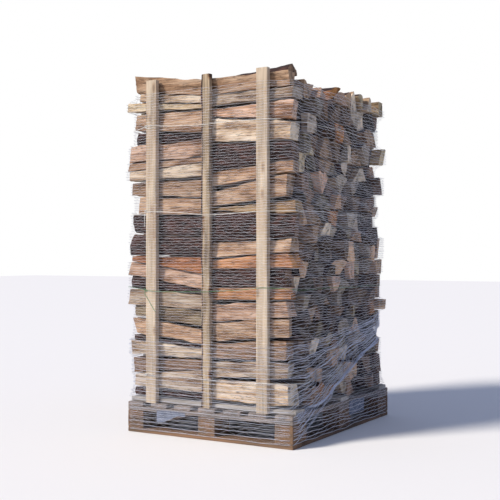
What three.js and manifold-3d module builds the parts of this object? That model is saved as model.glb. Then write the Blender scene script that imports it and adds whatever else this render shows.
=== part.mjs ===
// A pallet of split firewood: logs in two rows, held by slats, strings and a knitted net.
// Millimetres, +Z up. The origin is on the floor under the pallet's centre, and the front faces -Y.
import * as THREE from 'three';
import { mergeVertices } from 'three/addons/utils/BufferGeometryUtils.js';
import Module from 'manifold-3d';

const wasm = await Module();
wasm.setup();

// Driving dimensions.
const GAP = 0.3; // clearance between pieces that touch
const PALLET = { width: 1000, depth: 1200 };
const BOARD = 22; // thickness of every pallet board
const FOOT_BOARD = 100; // width of a bottom board
const BLOCK = { width: 100, depth: 145, height: 95 };
const DECK = { count: 7, width: 100 };
const BEARER = 100; // width of the boards that lie across the deck
const SLAT = { thickness: 30, height: 1711, widths: [66, 58, 64], centres: [-350, -9, 326] };
const TIERS = 9; // each tier is two courses of logs
const STACK = { height: 1665, tips: { left: 540, right: 505 }, middleGap: 4 };
const CREST = { height: 54, depth: 150 }; // the front logs of the top course stand higher
// How far each tier's longest log stays behind the row's furthest tip, from the bottom tier up.
const TIP_SETBACK = {
  left: [24, 12, 20, 8, 16, 6, 0, 10, 4],
  right: [14, 22, 8, 18, 6, 12, 20, 0, 10],
};
const STRING = { size: 3, corner: 12, heights: [310, 770, 1160, 1610] };
const STRING_NAMES = ['string_low_white', 'string_green', 'string_middle_white', 'string_upper_white'];
const NET = { wall: 3, corner: 14, foot: 15, top: 1800, windowMargin: 3 };
const CELL = { width: 230, height: 200, strand: 12, hem: 22 }; // far coarser than the real knit
const ROPE = { radius: 6, sides: 8, steps: 44 };
const TAG = { thickness: 1, overlap: 9 };
const FRONT_TAG = { centre: -220, width: 180, drop: 60 };
const SIDE_TAG = { centre: 150, width: 200, drop: 72 };

// Heights of the layers, from the floor up.
const blockZ = BOARD + GAP;
const stringerZ = blockZ + BLOCK.height + GAP;
const deckZ = stringerZ + BOARD + GAP;
const bearerZ = deckZ + BOARD + GAP;
const stackZ = bearerZ + BOARD + GAP;
const halfWidth = PALLET.width / 2;
const halfDepth = PALLET.depth / 2;
const stackHalfDepth = halfDepth - SLAT.thickness - GAP;

const part = new THREE.Group();

function material(color, roughness, metalness = 0) {
  return new THREE.MeshStandardMaterial({ color, roughness, metalness });
}

const boardWood = material(0xa9927c, 0.85);
const footWood = material(0xa97c55, 0.85);
const paleWood = material(0xd8d3cb, 0.8);
const slatWood = material(0xdfc6a4, 0.75);
const barkedWood = material(0xc29a78, 0.9);
const whiteTwine = material(0xdad9d6, 0.7);
const greenTwine = material(0x4f7f68, 0.7);
const netYarn = material(0xc9cedb, 0.6);
const paper = material(0xb9bec8, 0.7);

function add(name, geometry, finish) {
  const mesh = new THREE.Mesh(geometry, finish);
  mesh.name = name;
  part.add(mesh);
}

// A sawn board or block between two opposite corners.
function sawn(name, low, high, finish) {
  const size = high.map((value, i) => value - low[i]);
  const geometry = new THREE.BoxGeometry(...size);
  geometry.translate(...low.map((value, i) => value + size[i] / 2));
  add(name, geometry, finish);
}

// A rounded rectangle seen from above, as a shape or as the hole of one.
function roundedOutline(Outline, low, high, radius) {
  const outline = new Outline();
  outline.moveTo(low[0] + radius, low[1]);
  outline.lineTo(high[0] - radius, low[1]);
  outline.absarc(high[0] - radius, low[1] + radius, radius, -Math.PI / 2, 0);
  outline.lineTo(high[0], high[1] - radius);
  outline.absarc(high[0] - radius, high[1] - radius, radius, 0, Math.PI / 2);
  outline.lineTo(low[0] + radius, high[1]);
  outline.absarc(low[0] + radius, high[1] - radius, radius, Math.PI / 2, Math.PI);
  outline.lineTo(low[0], low[1] + radius);
  outline.absarc(low[0] + radius, low[1] + radius, radius, Math.PI, 1.5 * Math.PI);
  return outline;
}

// A closed belt of a given wall and height that goes round the whole load.
function belt(inner, wall, corner, height) {
  const low = [-inner.left, -inner.depth];
  const high = [inner.right, inner.depth];
  const grown = (point, by) => [point[0] + by, point[1] + by];
  const shape = roundedOutline(THREE.Shape, grown(low, -wall), grown(high, wall), corner + wall);
  shape.holes.push(roundedOutline(THREE.Path, low, high, corner));
  return new THREE.ExtrudeGeometry(shape, { depth: height, bevelEnabled: false, curveSegments: 6 });
}

// Pallet feet: two boards across the front and back, and three between them.
for (const [side, sign] of [['front', -1], ['back', 1]]) {
  const edges = [sign * halfDepth, sign * (halfDepth - FOOT_BOARD)].sort((a, b) => a - b);
  sawn(`foot_board_${side}`, [-halfWidth, edges[0], 0], [halfWidth, edges[1], BOARD], footWood);
}
const columnX = halfWidth - BLOCK.width / 2;
const rowY = halfDepth - BLOCK.depth / 2;
const columns = [['left', -columnX], ['middle', 0], ['right', columnX]];
const rows = [['front', -rowY], ['middle', 0], ['back', rowY]];
const footEnd = halfDepth - FOOT_BOARD - GAP;
for (const [column, x] of columns) {
  const half = FOOT_BOARD / 2;
  sawn(`foot_board_${column}`, [x - half, -footEnd, 0], [x + half, footEnd, BOARD], footWood);
}

// Nine blocks, and a stringer board across each row of three.
for (const [row, y] of rows) {
  const back = y + BLOCK.depth / 2;
  const front = y - BLOCK.depth / 2;
  for (const [column, x] of columns) {
    const low = [x - BLOCK.width / 2, front, blockZ];
    sawn(`block_${row}_${column}`, low, [x + BLOCK.width / 2, back, blockZ + BLOCK.height], footWood);
  }
  sawn(`stringer_${row}`, [-halfWidth, front, stringerZ], [halfWidth, back, stringerZ + BOARD], boardWood);
}

// Deck boards from front to back, evenly spaced.
const deckPitch = (PALLET.width - DECK.width) / (DECK.count - 1);
for (let i = 0; i < DECK.count; i++) {
  const x = -halfWidth + i * deckPitch;
  const high = [x + DECK.width, halfDepth, deckZ + BOARD];
  sawn(`deck_board_${i + 1}`, [x, -halfDepth, deckZ], high, boardWood);
}

// Bearer boards across the deck, which the lowest logs lie on.
const bearerOffset = stackHalfDepth - BEARER / 2;
for (const [row, y] of [['front', -bearerOffset], ['middle', 0], ['back', bearerOffset]]) {
  const low = [-halfWidth, y - BEARER / 2, bearerZ];
  sawn(`bearer_${row}`, low, [halfWidth, y + BEARER / 2, bearerZ + BOARD], paleWood);
}

// Upright slats on the deck's front and back edges, three on each.
for (const [side, sign] of [['front', -1], ['back', 1]]) {
  SLAT.widths.forEach((width, i) => {
    const ends = [sign * halfDepth, sign * (halfDepth - SLAT.thickness)].sort((a, b) => a - b);
    const low = [SLAT.centres[i] - width / 2, ends[0], bearerZ];
    sawn(`slat_${side}_${i + 1}`, low, [low[0] + width, ends[1], bearerZ + SLAT.height], slatWood);
  });
}

// Firewood: two rows of logs that meet in the middle, each row in nine tiers. A tier is a plain
// solid out to its logs' tips, and the top one has a crest along its front and back logs.
const tierHeight = STACK.height / TIERS;
for (const [side, sign] of [['left', -1], ['right', 1]]) {
  for (let tier = 0; tier < TIERS; tier++) {
    const z = stackZ + tier * tierHeight;
    const top = z + tierHeight - GAP;
    const crest = tier === TIERS - 1 ? CREST.height : 0;
    const profile = new THREE.Shape();
    profile.moveTo(-stackHalfDepth, z);
    profile.lineTo(stackHalfDepth, z);
    if (crest) {
      profile.lineTo(stackHalfDepth, top);
      profile.lineTo(-stackHalfDepth + CREST.depth, top);
      profile.lineTo(-stackHalfDepth + 0.8 * CREST.depth, top + crest);
      profile.lineTo(-stackHalfDepth, top + crest);
    } else {
      profile.lineTo(stackHalfDepth, top);
      profile.lineTo(-stackHalfDepth, top);
    }
    const length = STACK.tips[side] - TIP_SETBACK[side][tier] - STACK.middleGap / 2;
    const geometry = new THREE.ExtrudeGeometry(profile, { depth: length, bevelEnabled: false });
    // The profile is drawn in Y and Z, and its depth is turned to run along X.
    geometry.applyMatrix4(new THREE.Matrix4().set(0, 0, 1, 0, 1, 0, 0, 0, 0, 1, 0, 0, 0, 0, 0, 1));
    geometry.translate(sign > 0 ? STACK.middleGap / 2 : -STACK.middleGap / 2 - length, 0, 0);
    add(`firewood_${side}_${tier + 1}`, geometry, barkedWood);
  }
}

// Strings tied round the slats and the logs' ends.
const stringInner = {
  left: STACK.tips.left + GAP,
  right: STACK.tips.right + GAP,
  depth: halfDepth + GAP,
};
STRING.heights.forEach((height, i) => {
  const geometry = belt(stringInner, STRING.size, STRING.corner, STRING.size);
  geometry.translate(0, 0, height);
  add(STRING_NAMES[i], geometry, STRING_NAMES[i].includes('green') ? greenTwine : whiteTwine);
});

// The knitted net, as a sleeve with a window over each fork opening.
function solidOf(geometry) {
  const bare = geometry.clone();
  bare.deleteAttribute('normal');
  bare.deleteAttribute('uv');
  const merged = mergeVertices(bare, 1e-4);
  const vertProperties = new Float32Array(merged.attributes.position.array);
  const triVerts = new Uint32Array(merged.index.array);
  return new wasm.Manifold(new wasm.Mesh({ numProp: 3, vertProperties, triVerts }));
}

function geometryOf(solid) {
  const mesh = solid.getMesh();
  const geometry = new THREE.BufferGeometry();
  geometry.setAttribute('position', new THREE.BufferAttribute(mesh.vertProperties, 3));
  geometry.setIndex(new THREE.BufferAttribute(mesh.triVerts, 1));
  geometry.computeVertexNormals();
  return geometry;
}

const netGap = STRING.size + GAP;
const netInner = {
  left: stringInner.left + netGap,
  right: stringInner.right + netGap,
  depth: stringInner.depth + netGap,
};
const sleeve = belt(netInner, NET.wall, NET.corner, NET.top - NET.foot);
sleeve.translate(0, 0, NET.foot);
let net = solidOf(sleeve);
const reach = 2 * PALLET.depth;

// A window right through the load, cut from an outline drawn on the front or on the side.
function cutWindow(outline, throughSides) {
  const cutter = new THREE.ExtrudeGeometry(outline, { depth: reach, bevelEnabled: false });
  cutter.translate(0, 0, -reach / 2);
  cutter.rotateX(Math.PI / 2);
  if (throughSides) cutter.rotateZ(Math.PI / 2);
  net = net.subtract(solidOf(cutter));
}

const windowLow = blockZ + NET.windowMargin / 2;
const windowHigh = blockZ + BLOCK.height - NET.windowMargin / 2;
const faces = [
  { throughSides: false, half: halfWidth, block: BLOCK.width },
  { throughSides: true, half: halfDepth, block: BLOCK.depth },
];
for (const { throughSides, half, block } of faces) {
  // One window over each fork opening.
  const low = block / 2 + NET.windowMargin;
  const high = half - block - NET.windowMargin;
  for (const [x0, x1] of [[-high, -low], [low, high]]) {
    const corners = [[x0, windowLow], [x1, windowLow], [x1, windowHigh], [x0, windowHigh]];
    cutWindow(new THREE.Shape(corners.map((p) => new THREE.Vector2(...p))), throughSides);
  }
  // Above them, staggered diamonds with a strand left between each two.
  const halfCell = [CELL.width / 2 - CELL.strand, CELL.height / 2 - CELL.strand];
  const firstRow = deckZ + CELL.hem + CELL.height / 2;
  const lastRow = NET.top - CELL.hem - CELL.height / 2;
  for (let row = 0; firstRow + (row * CELL.height) / 2 <= lastRow; row++) {
    const z = firstRow + (row * CELL.height) / 2;
    const columnsInRow = 2 * Math.floor((half - CELL.hem) / CELL.width) - (row % 2);
    for (let column = 0; column < columnsInRow; column++) {
      const x = (column - (columnsInRow - 1) / 2) * CELL.width;
      const [w, h] = halfCell;
      const corners = [[x - w, z], [x, z - h], [x + w, z], [x, z + h]];
      cutWindow(new THREE.Shape(corners.map((p) => new THREE.Vector2(...p))), throughSides);
    }
  }
}
add('net', geometryOf(net), netYarn);

// The net's gathered edge: a rope of bunched net that rises across the right side.
const ropeX = netInner.right + NET.wall + GAP + ROPE.radius;
const ropeRoute = [
  [-560, 150], [-415, 180], [-208, 205], [-87, 270], [66, 334], [227, 384], [420, 445], [585, 500],
];
const ropePath = new THREE.CatmullRomCurve3(ropeRoute.map(([y, z]) => new THREE.Vector3(ropeX, y, z)));
const ropeSection = new THREE.Shape();
for (let i = 0; i <= ROPE.sides; i++) {
  const angle = (2 * Math.PI * i) / ROPE.sides;
  const point = [ROPE.radius * Math.cos(angle), ROPE.radius * Math.sin(angle)];
  if (i === 0) ropeSection.moveTo(...point);
  else if (i < ROPE.sides) ropeSection.lineTo(...point);
}
const ropeOptions = { steps: ROPE.steps, extrudePath: ropePath, bevelEnabled: false };
add('net_rope', new THREE.ExtrudeGeometry(ropeSection, ropeOptions), netYarn);

// Two blank paper tags, stapled to the pallet behind the net.
const tagFace = [GAP, GAP + TAG.thickness];
const frontTop = stringerZ + TAG.overlap;
sawn(
  'tag_front',
  [FRONT_TAG.centre - FRONT_TAG.width / 2, -halfDepth - tagFace[1], frontTop - FRONT_TAG.drop],
  [FRONT_TAG.centre + FRONT_TAG.width / 2, -halfDepth - tagFace[0], frontTop],
  paper,
);
const sideTop = deckZ + TAG.overlap + TAG.thickness;
sawn(
  'tag_side',
  [halfWidth + tagFace[0], SIDE_TAG.centre - SIDE_TAG.width / 2, sideTop - SIDE_TAG.drop],
  [halfWidth + tagFace[1], SIDE_TAG.centre + SIDE_TAG.width / 2, sideTop],
  paper,
);

export default part;
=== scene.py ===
"""A pallet of split firewood: logs in two rows, held by slats, strings and a knitted net. Metres, +Z up."""

import bpy
import numpy as np
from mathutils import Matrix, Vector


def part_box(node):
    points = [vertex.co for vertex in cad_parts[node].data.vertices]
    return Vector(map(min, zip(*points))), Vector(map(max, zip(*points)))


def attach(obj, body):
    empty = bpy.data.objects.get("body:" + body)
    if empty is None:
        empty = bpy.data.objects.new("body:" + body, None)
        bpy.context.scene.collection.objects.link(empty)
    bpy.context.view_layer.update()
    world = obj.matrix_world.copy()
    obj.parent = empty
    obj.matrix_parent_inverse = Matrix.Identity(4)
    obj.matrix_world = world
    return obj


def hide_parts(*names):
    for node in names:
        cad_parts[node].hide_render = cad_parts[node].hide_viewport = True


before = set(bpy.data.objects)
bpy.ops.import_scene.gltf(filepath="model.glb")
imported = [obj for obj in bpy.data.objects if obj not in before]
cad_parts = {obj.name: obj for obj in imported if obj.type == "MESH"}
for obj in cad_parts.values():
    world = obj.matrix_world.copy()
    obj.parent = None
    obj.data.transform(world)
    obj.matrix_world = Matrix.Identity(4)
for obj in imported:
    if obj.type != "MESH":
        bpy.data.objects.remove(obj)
scene = bpy.context.scene
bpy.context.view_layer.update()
MM = 0.001

# ------------------------------------------------------------
# Camera. It stands in front and to the right of the load, level, a little under its middle, so
# the long sides of the logs and the logs' ends both show.
# ------------------------------------------------------------
camera_data = bpy.data.cameras.new("camera")
camera_data.lens = 68.0
camera_data.shift_y = 0.0122
camera = bpy.data.objects.new("camera", camera_data)
camera.location = (2.646, -4.642, 0.941)
camera.rotation_euler = (np.radians(90.0), 0.0, np.radians(30.55))
scene.collection.objects.link(camera)
scene.camera = camera

# ------------------------------------------------------------
# Pallet. Rough-sawn softwood boards nailed over nine blocks: weathered grey-brown on top, and
# orange-brown blocks and foot boards. Each piece is cut by a band saw, so its edges are slightly
# worn and its faces not quite flat.
# ------------------------------------------------------------


def tube_faces(rings, points):
    """Quads between each ring and the next: point j and j + 1 of ring i, then the same of ring i + 1."""
    i, j = np.meshgrid(np.arange(rings - 1), np.arange(points), indexing="ij")
    k = (j + 1) % points
    quads = np.stack([i * points + j, i * points + k, (i + 1) * points + k, (i + 1) * points + j], -1)
    return quads.reshape(-1, 4)


def closed_tube(rings):
    """Vertices, quads and triangles of rings (m, n, 3) joined in order, with a fan over each end.

    The rings run along the axis and turn the right-handed way round it, so that faces point out.
    """
    m, n = rings.shape[:2]
    ends = np.stack([rings[0].mean(0), rings[-1].mean(0)])
    vertices = np.concatenate([rings.reshape(-1, 3), ends])
    j = np.arange(n)
    k = (j + 1) % n
    first = np.stack([np.full(n, m * n), k, j], -1)
    last = np.stack([np.full(n, m * n + 1), (m - 1) * n + j, (m - 1) * n + k], -1)
    return vertices, tube_faces(m, n), np.concatenate([first, last])


def mesh_object(name, parts, materials, smooth_angle=40.0):
    """Joins parts into one mesh.

    A part is (vertices, quads, triangles, quad slots, triangle slots, attributes).
    """
    starts = np.cumsum([0] + [len(p[0]) for p in parts[:-1]])
    vertices = np.concatenate([p[0] for p in parts])
    quads = np.concatenate([p[1] + s for p, s in zip(parts, starts)])
    triangles = np.concatenate([p[2] + s for p, s in zip(parts, starts)])
    slots = np.concatenate([p[3] for p in parts] + [p[4] for p in parts])
    mesh = bpy.data.meshes.new(name)
    mesh.vertices.add(len(vertices))
    mesh.vertices.foreach_set("co", vertices.astype(np.float32).ravel())
    loops = np.concatenate([quads.ravel(), triangles.ravel()]).astype(np.int32)
    totals = np.concatenate([np.full(len(quads), 4), np.full(len(triangles), 3)]).astype(np.int32)
    mesh.loops.add(len(loops))
    mesh.loops.foreach_set("vertex_index", loops)
    mesh.polygons.add(len(totals))
    mesh.polygons.foreach_set("loop_start", (np.cumsum(totals) - totals).astype(np.int32))
    mesh.polygons.foreach_set("material_index", slots.astype(np.int32))
    for key in parts[0][5]:
        width = len(parts[0][5][key][0])
        values = np.concatenate([np.broadcast_to(p[5][key], (len(p[0]), width)) for p in parts])
        kind, field = ("FLOAT_VECTOR", "vector") if width == 3 else ("FLOAT_COLOR", "color")
        layer = mesh.attributes.new(key, kind, "POINT")
        layer.data.foreach_set(field, values.astype(np.float32).ravel())
    mesh.update(calc_edges=True)
    mesh.validate()
    mesh.polygons.foreach_set("use_smooth", np.ones(len(mesh.polygons), bool))
    mesh.set_sharp_from_angle(angle=np.radians(smooth_angle))
    piece = bpy.data.objects.new(name, mesh)
    scene.collection.objects.link(piece)
    for material in materials:
        mesh.materials.append(material)
    return piece


def linear(hex_colour, alpha=1.0):
    """An sRGB hex colour as linear values."""
    srgb = np.array([int(hex_colour[i : i + 2], 16) for i in (0, 2, 4)]) / 255
    values = np.where(srgb <= 0.04045, srgb / 12.92, ((srgb + 0.055) / 1.055) ** 2.4)
    return (*values.tolist(), alpha)


def add_node(tree, kind, links=None, values=None, stops=None, **settings):
    """Adds a node with its properties, socket values and colour stops, and links outputs to its inputs."""
    made = tree.nodes.new(kind)
    for key, value in settings.items():
        setattr(made, key, value)
    for key, value in (values or {}).items():
        made.inputs[key].default_value = value
    for key, output in (links or {}).items():
        tree.links.new(output, made.inputs[key])
    for i, (place, colour) in enumerate(stops or []):
        element = made.color_ramp.elements[i] if i < 2 else made.color_ramp.elements.new(place)
        element.position, element.color = place, colour
    return made


def new_material(name):
    """A material with its shader and output in place, returned with its tree and shader."""
    material = bpy.data.materials.new(name)
    material.use_nodes = True
    return material, material.node_tree, material.node_tree.nodes["Principled BSDF"]


def grain_and_tint(tree):
    """The mesh's own grain attribute as a vector, and its tint attribute as a colour."""
    grain = add_node(tree, "ShaderNodeAttribute", attribute_name="grain")
    tint = add_node(tree, "ShaderNodeAttribute", attribute_name="tint")
    return grain.outputs["Vector"], tint.outputs["Color"]


def drawn_out(tree, grain, scale, detail, roughness=0.5, start=(0.0, 0.0, 0.0)):
    """A pattern drawn out along the grain: noise of the grain's metres times a scale for each axis."""
    way = add_node(tree, "ShaderNodeMapping", {"Vector": grain}, {"Scale": scale, "Location": start})
    values = {"Scale": 1.0, "Detail": detail, "Roughness": roughness}
    return add_node(tree, "ShaderNodeTexNoise", {"Vector": way.outputs["Vector"]}, values).outputs["Fac"]


def layered(tree, colour, layers):
    """A colour times each layer in turn. A layer is a pattern, its colour stops and its share."""
    for pattern, stops, share in layers:
        shade = add_node(tree, "ShaderNodeValToRGB", {"Fac": pattern}, stops=stops).outputs["Color"]
        both = {"Color1": colour, "Color2": shade}
        mixed = add_node(tree, "ShaderNodeMixRGB", both, {"Fac": share}, blend_type="MULTIPLY")
        colour = mixed.outputs["Color"]
    return colour


def finish(tree, shader, colour, roughness, height, strength, depth_mm):
    """Gives the shader its colour and roughness, and relief of a depth in millimetres from a pattern."""
    tree.links.new(colour, shader.inputs["Base Color"])
    shader.inputs["Roughness"].default_value = roughness
    values = {"Strength": strength, "Distance": depth_mm * MM}
    relief = add_node(tree, "ShaderNodeBump", {"Height": height}, values)
    tree.links.new(relief.outputs["Normal"], shader.inputs["Normal"])


def grey(value):
    """A grey as a colour, for a ramp that only scales another colour."""
    return (value, value, value, 1.0)


def sawn_softwood(name, fresh, worn, streak_mm=9.0, knotty=0.35):
    """Band-sawn spruce: straight grain along the board, greyed by weather, with knots.

    The grain attribute holds metres along the board, then across it, so streaks follow each board.
    """
    material, tree, shader = new_material(name)
    grain, tint = grain_and_tint(tree)
    # Streaks are drawn about three times coarser than real spruce grain, so that they show.
    across = 1 / (streak_mm * MM)
    streaks = drawn_out(tree, grain, (3.0, across, across), 5.0, 0.62)
    # Patches of weather, a hand wide and longer along the board.
    patches = drawn_out(tree, grain, (4.0, 16.0, 16.0), 4.0)
    worn_stops = [(0.36, grey(0.0)), (0.66, grey(1.0))]
    share = add_node(tree, "ShaderNodeValToRGB", {"Fac": patches}, stops=worn_stops).outputs["Color"]
    ends = {"Color1": linear(fresh), "Color2": linear(worn)}
    weathered = add_node(tree, "ShaderNodeMixRGB", {"Fac": share}, ends).outputs["Color"]
    both = {"Color1": weathered, "Color2": tint}
    tinted = add_node(tree, "ShaderNodeMixRGB", both, {"Fac": 1.0}, blend_type="MULTIPLY")
    # Knots: a dark ellipse of 40 by 16 mm somewhere in each 140 by 55 mm of board, in a darker ring.
    way = add_node(tree, "ShaderNodeMapping", {"Vector": grain}, {"Scale": (7.0, 18.0, 0.0)})
    knots = add_node(tree, "ShaderNodeTexVoronoi", {"Vector": way.outputs["Vector"]}, {"Scale": 1.0})
    knot_stops = [(0.06, "6A4630"), (0.11, "7E5A40"), (0.14, "C8A888"), (0.26, "FFFFFF")]
    layers = [
        (streaks, [(0.28, grey(0.5)), (0.48, grey(0.94)), (0.68, grey(1.16))], 1.0),
        (knots.outputs["Distance"], [(place, linear(shade)) for place, shade in knot_stops], knotty),
    ]
    colour = layered(tree, tinted.outputs["Color"], layers)
    finish(tree, shader, colour, 0.82, streaks, 0.6, 1.2)
    return material


def sawn_piece(name, materials, random, chamfer=2.0 * MM, wobble=0.5 * MM, tone=0.08, wane=0.0):
    """A sawn board in the place of its CAD node.

    Its section is a rectangle with chamfered corners. It is carried along the longest side, and each
    point moves in and out a little by smooth random amounts; the corners are knocked in here and there.
    A waney board has lost one corner to bark: the points near it go in by the wane times a random bite.
    """
    low, high = (np.array(corner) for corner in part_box(name))
    size = high - low
    along = int(np.argmax(size))
    wide, thick = [(1, 2), (2, 0), (0, 1)][along]
    half = np.array([size[wide], size[thick]]) / 2
    steps = np.array([-1.0, -0.93, -0.5, 0.0, 0.5, 0.93, 1.0])
    side = steps[1:-1]
    ones = np.ones(len(side))
    edges = [(side, -ones), (ones, side), (-side, ones), (-ones, -side)]
    outline = np.concatenate([np.stack(edge, 1) for edge in edges])
    # The point nearest each corner sits a chamfer away from it, whatever the side's length.
    near = np.abs(outline) > 0.9
    both = near.all(1)
    outline = outline * half
    limit = half - chamfer
    corner_side = both & (np.abs(np.abs(outline) - half).argmin(1) == 1)
    outline[corner_side, 0] = np.clip(outline[corner_side, 0], -limit[0], limit[0])
    outline[both & ~corner_side, 1] = np.clip(outline[both & ~corner_side, 1], -limit[1], limit[1])
    stations = max(6, int(size[along] / 0.04))
    place = np.linspace(0, 1, stations)
    knots = random.normal(0, 1, (max(4, stations // 3), len(outline)))
    at = place * (len(knots) - 1)
    i = np.minimum(at.astype(int), len(knots) - 2)
    blend = (at - i)[:, None]
    bulge = -wobble * np.abs(knots[i] * (1 - blend) + knots[i + 1] * blend)
    # One corner point in eight or so has been knocked in.
    corners = (stations, both.sum())
    bulge[:, both] -= chamfer * (random.random(corners) < 0.12) * random.random(corners)
    normal = outline / np.linalg.norm(outline, axis=1, keepdims=True)
    section = outline[None] + bulge[..., None] * np.sign(normal)[None] * 0.8
    near_bark = np.clip(-outline[:, 0] / half[0] * 2 - 0.8, 0, 1) * np.clip(-outline[:, 1] / half[1], 0, 1)
    barky = near_bark > 0.15
    if wane:
        bite = 0.2 + np.interp(place, np.linspace(0, 1, 26), random.random(26) ** 1.4)[:, None]
        section += wane * (bite * near_bark * random.uniform(0.7, 1.0, (stations, len(outline))))[..., None]
    rings = np.zeros((stations, len(outline), 3))
    rings[..., along] = (low[along] + place * size[along])[:, None]
    rings[0, :, along] += random.random(len(outline)) * 0.8 * MM
    rings[-1, :, along] -= random.random(len(outline)) * 0.8 * MM
    centre = (low + high) / 2
    rings[..., wide] = centre[wide] + section[..., 0]
    rings[..., thick] = centre[thick] + section[..., 1]
    vertices, quads, triangles = closed_tube(rings)
    offset = random.random(3) * np.array([9.0, 0.4, 0.4])
    grain = (vertices - centre)[:, [along, wide, thick]] + offset
    shade = 1 + tone * random.normal()
    tint = np.array([[shade, shade, shade, random.random()]])
    slots = np.tile(barky & np.roll(barky, -1) & (wane > 0), stations - 1)
    part = (vertices, quads, triangles, slots, np.zeros(len(triangles)), {"grain": grain, "tint": tint})
    return mesh_object(name + "_sawn", [part], materials)


random = np.random.default_rng(11)
foot_wood = sawn_softwood("orange_brown_pine", "7E6048", "625040")
board_wood = sawn_softwood("weathered_pine", "90827A", "706A68")
pale_wood = sawn_softwood("bleached_pine", "B4B0AC", "9C9692")
PALLET_FINISH = [("foot_", foot_wood, "foot_wood"), ("block_", foot_wood, "foot_wood")]
PALLET_FINISH += [("stringer_", board_wood, "board_wood"), ("deck_board_", board_wood, "board_wood")]
PALLET_FINISH += [("bearer_", pale_wood, "pale_wood")]
for prefix, material, slot in PALLET_FINISH:
    for node in sorted(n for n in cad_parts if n.startswith(prefix)):
        piece = sawn_piece(node, [material], random)
        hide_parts(node)
        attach(piece, "root")

# ------------------------------------------------------------
# Firewood. Half-metre beech and oak logs, sawn across and split along the grain, stacked in two
# rows that meet in the middle. Each has split faces, sawn ends and often one side of bark.
# ------------------------------------------------------------
stack_low = np.array(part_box("firewood_left_1")[0])
FRONT, BACK = stack_low[1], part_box("firewood_right_9")[1][1]
FLOOR = stack_low[2]
TIERS = 9
WOODS = {
    "pale": "ECDECA",
    "cream": "E0D0B2",
    "pink": "DABCA8",
    "tan": "CEB298",
    "orange": "C8966C",
    "rusty": "B47A4E",
    "brown": "A88C74",
    "grey": "C2B6A8",
    "olive": "A0957E",
    "yellow": "D0B48C",
    "bark": "8E7666",
}
# The logs of the front column, from the top down: height at the outer and the inner end, how far
# the outer end stays behind the row's furthest tip (all in millimetres), and the wood's look. A gap
# is the open wedge where two crooked logs don't meet.
FRONT_LOGS = {
    "left": [
        (100, 82, 58, "tan"), (46, 42, 80, "pale"), (50, 22, 14, "cream"), (13, 8, 0, "gap"),
        (90, 124, 65, "tan"), (6, 9, 0, "gap"), (78, 10, 62, "bark"), (94, 98, 28, "pink"),
        (41, 29, 18, "brown"), (50, 74, 12, "pale"), (12, 14, 0, "gap"), (70, 96, 41, "tan"),
        (5, 6, 0, "gap"), (96, 89, 75, "tan"), (103, 108, 42, "bark"), (119, 104, 34, "bark"),
        (32, 91, 40, "rusty"), (71, 80, 20, "pink"), (76, 25, 28, "bark"), (83, 80, 32, "grey"),
        (62, 90, 58, "olive"), (7, 12, 0, "gap"), (87, 78, 60, "tan"), (8, 14, 0, "gap"),
        (28, 4, 45, "bark"), (84, 50, 30, "pale"), (10, 9, 0, "gap"), (82, 46, 45, "brown"),
        (71, 126, 58, "grey"), (6, 8, 0, "gap"), (48, 28, 50, "bark"),
    ],
    "right": [
        (80, 93, 50, "tan"), (56, 58, 21, "grey"), (8, 15, 0, "gap"), (100, 40, 30, "pink"),
        (11, 3, 0, "gap"), (91, 126, 29, "pale"), (4, 5, 0, "gap"), (91, 150, 33, "bark"),
        (62, 76, 33, "tan"), (4, 24, 0, "gap"), (114, 80, 60, "tan"), (20, 4, 0, "gap"),
        (64, 15, 5, "yellow"), (122, 165, 21, "bark"), (67, 78, 38, "tan"), (4, 4, 0, "gap"),
        (79, 53, 28, "orange"), (90, 88, 70, "bark"), (65, 72, 38, "orange"), (5, 19, 0, "gap"),
        (82, 94, 50, "pink"), (4, 4, 0, "gap"), (92, 92, 55, "tan"), (15, 8, 0, "gap"),
        (105, 82, 62, "brown"), (5, 14, 0, "gap"), (80, 86, 55, "grey"), (21, 6, 0, "gap"),
        (119, 107, 45, "pale"),
    ],
}
# Height of the front column's top at its outer and inner end, of the back column's, and of the courses'.
FRONT_TOP = {"left": (1916 * MM, 1851 * MM), "right": (1857 * MM, 1862 * MM)}
BACK_TOP = 1845 * MM
MIDDLE_TOP = 1838 * MM
COURSES = 19
COLUMN_DEPTH = 112 * MM
SIDE_WOODS = ["pale", "tan", "tan", "pink", "orange", "brown", "grey", "cream"]


def drift(points, phase):
    """How far corners move between a log's inner and outer end: slow waves over the stack's section."""
    y, z = points[..., 0], points[..., 1]
    turn = 2 * np.pi
    across = 7 * np.sin(turn * (y / 0.33 + z / 0.41) + phase[0])
    across = across + 6 * np.sin(turn * (z / 0.19 - y / 0.7) + phase[1])
    up = 8 * np.sin(turn * (y / 0.27 - z / 0.53) + phase[2])
    up = up + 7 * np.sin(turn * (y / 0.61 + z / 0.23) + phase[3])
    return np.stack([across, up], -1) * MM


def smooth_random(random, rows, columns, fine_rows):
    """Random values on a coarse grid of rows, carried to fine_rows rows by a cosine blend."""
    coarse = random.normal(0, 1, (rows, columns))
    at = np.linspace(0, rows - 1, fine_rows)
    i = np.minimum(at.astype(int), rows - 2)
    blend = ((1 - np.cos(np.pi * (at - i))) / 2)[:, None]
    return coarse[i] * (1 - blend) + coarse[i + 1] * blend


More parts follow.
